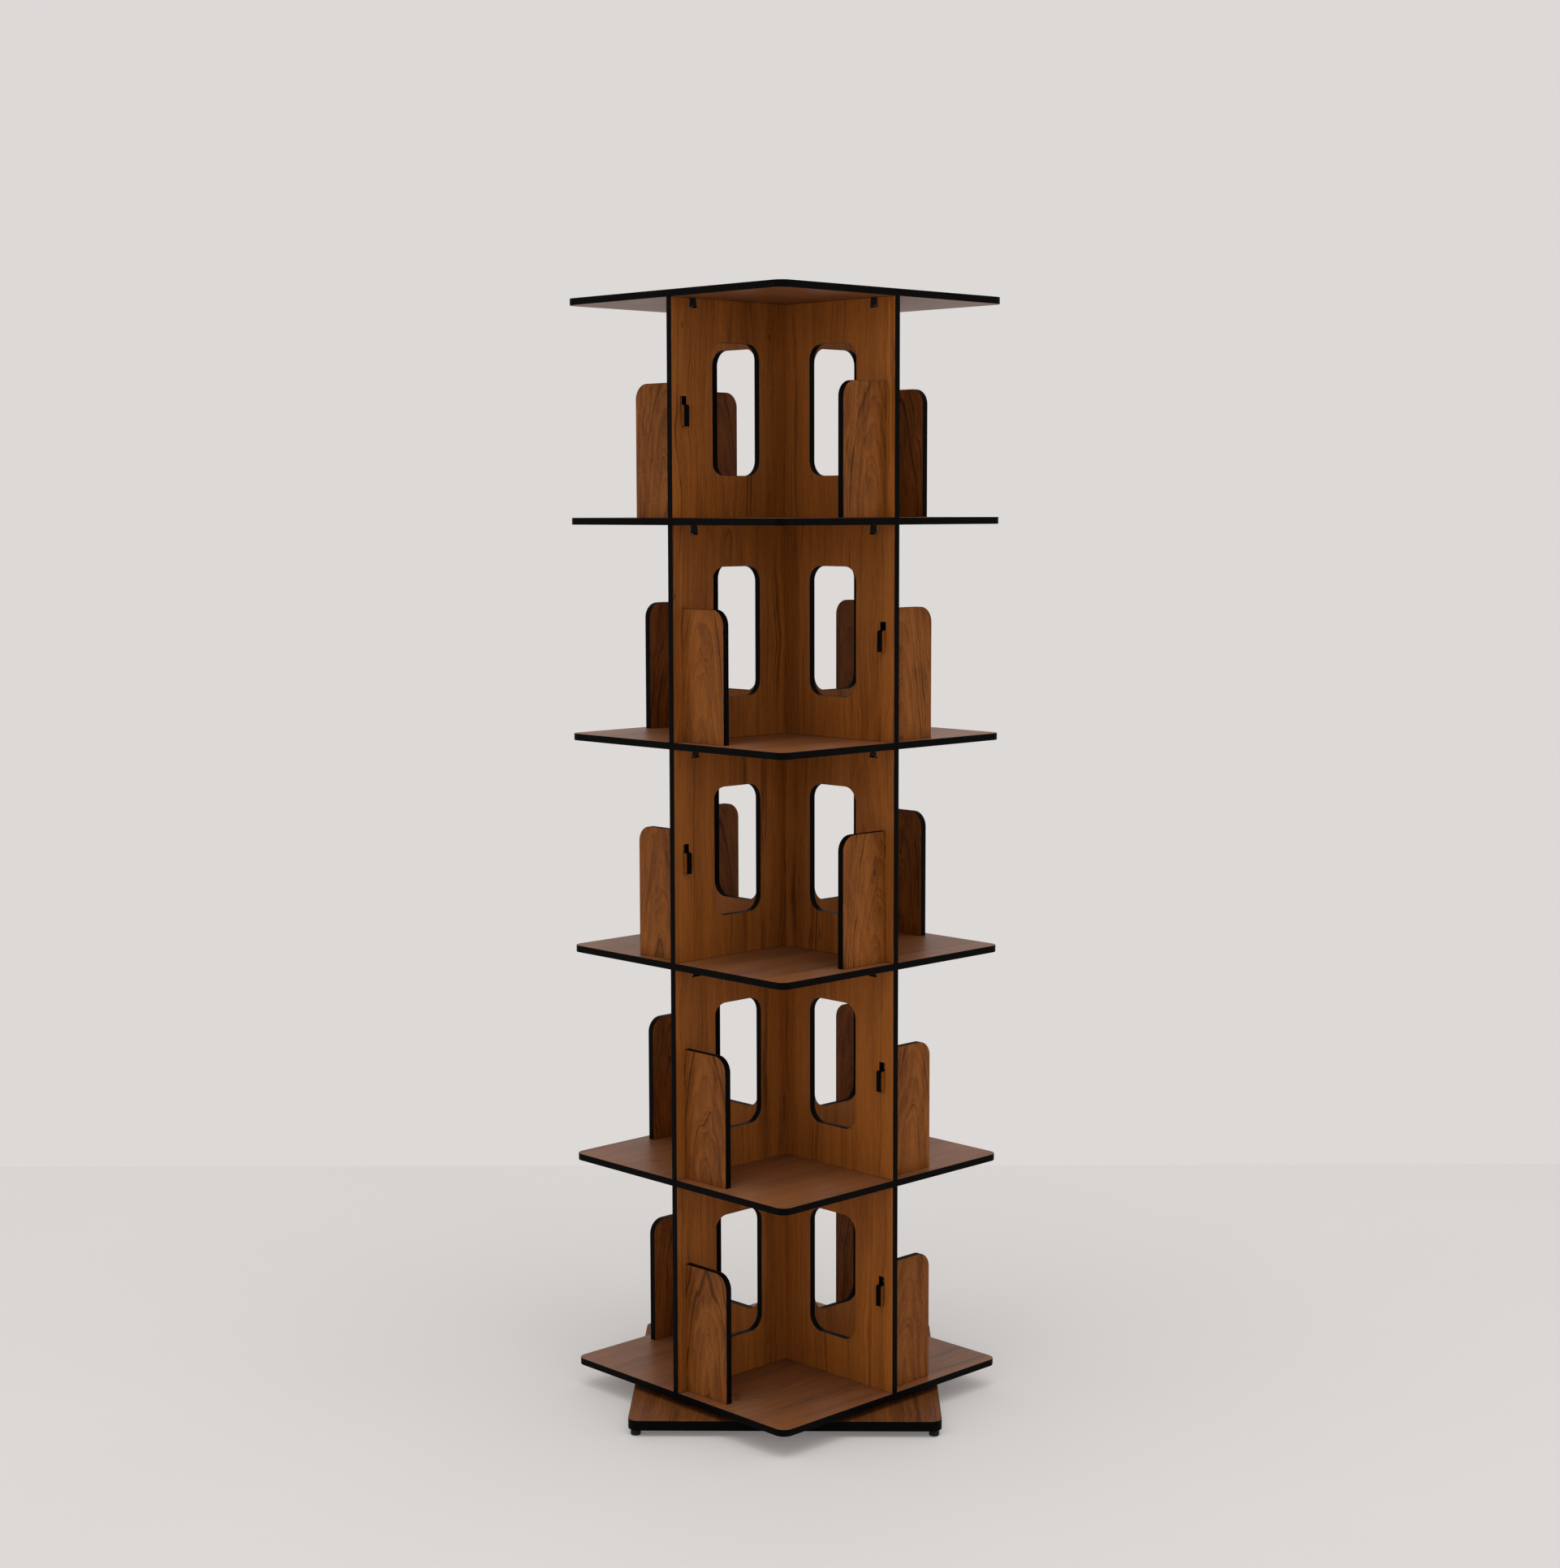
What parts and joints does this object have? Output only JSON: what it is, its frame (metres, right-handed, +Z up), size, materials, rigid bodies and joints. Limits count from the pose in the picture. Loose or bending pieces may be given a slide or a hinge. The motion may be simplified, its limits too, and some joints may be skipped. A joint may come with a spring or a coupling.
{
  "type": "revolving bookcase",
  "caption": "Tall revolving bookcase: square shelves on a plus-shaped spine with windows and hooked book stops, turning on a ball ring above a square base.",
  "frame": {"origin": "on the floor, on the turning axis, at the middle of the base", "axes": "+Z up along the turning axis; X and Y along the sides of the shelves at rest, with the base turned 45 degrees to them"},
  "size_m": [0.554, 0.554, 1.443],
  "materials": {
    "walnut_board": "walnut-faced board, satin, with black cut edges",
    "foot_plastic": "moulded, matt black",
    "black_fasteners": "black oxide",
    "turntable_metal": "plain, satin",
    "ball_steel": "polished bearing steel",
    "cage_plastic": "moulded, dark grey"
  },
  "bodies": {
    "base": {"base_plate": "walnut_board", "base_feet": "foot_plastic", "foot_screws": "black_fasteners", "turntable_outer_ring": "turntable_metal", "ring_screws_lower": "black_fasteners"},
    "carousel": {"book_stop_1_back": "walnut_board", "book_stop_1_front": "walnut_board", "book_stop_1_left": "walnut_board", "book_stop_1_right": "walnut_board", "book_stop_2_back": "walnut_board", "book_stop_2_front": "walnut_board", "book_stop_2_left": "walnut_board", "book_stop_2_right": "walnut_board", "book_stop_3_back": "walnut_board", "book_stop_3_front": "walnut_board", "book_stop_3_left": "walnut_board", "book_stop_3_right": "walnut_board", "book_stop_4_back": "walnut_board", "book_stop_4_front": "walnut_board", "book_stop_4_left": "walnut_board", "book_stop_4_right": "walnut_board", "book_stop_5_back": "walnut_board", "book_stop_5_front": "walnut_board", "book_stop_5_left": "walnut_board", "book_stop_5_right": "walnut_board", "bottom_shelf": "walnut_board", "captive_nuts": "black_fasteners", "end_bolts": "black_fasteners", "locating_pins": "black_fasteners", "ring_screws_upper": "black_fasteners", "shelf_2": "walnut_board", "shelf_3": "walnut_board", "shelf_4": "walnut_board", "shelf_5": "walnut_board", "spine_panel_1_x": "walnut_board", "spine_panel_1_y": "walnut_board", "spine_panel_2_x": "walnut_board", "spine_panel_2_y": "walnut_board", "spine_panel_3_x": "walnut_board", "spine_panel_3_y": "walnut_board", "spine_panel_4_x": "walnut_board", "spine_panel_4_y": "walnut_board", "spine_panel_5_x": "walnut_board", "spine_panel_5_y": "walnut_board", "tie_bolts": "black_fasteners", "top_panel": "walnut_board", "turntable_inner_ring": "turntable_metal"},
    "ball_race": {"turntable_balls": "ball_steel", "turntable_ball_cage": "cage_plastic"}
  },
  "joints": [
    {"name": "carousel_turn", "type": "hinge", "parent": "base", "child": "carousel", "pos_m": [0, 0, 0.025], "axis": [0, 0, 1], "continuous": true},
    {"name": "ball_race_turn", "type": "hinge", "parent": "base", "child": "ball_race", "pos_m": [0, 0, 0.025], "axis": [0, 0, 1], "continuous": true}
  ],
  "couplings": [
    {"joint": "ball_race_turn", "follows": "carousel_turn", "ratio": 0.5}
  ]
}
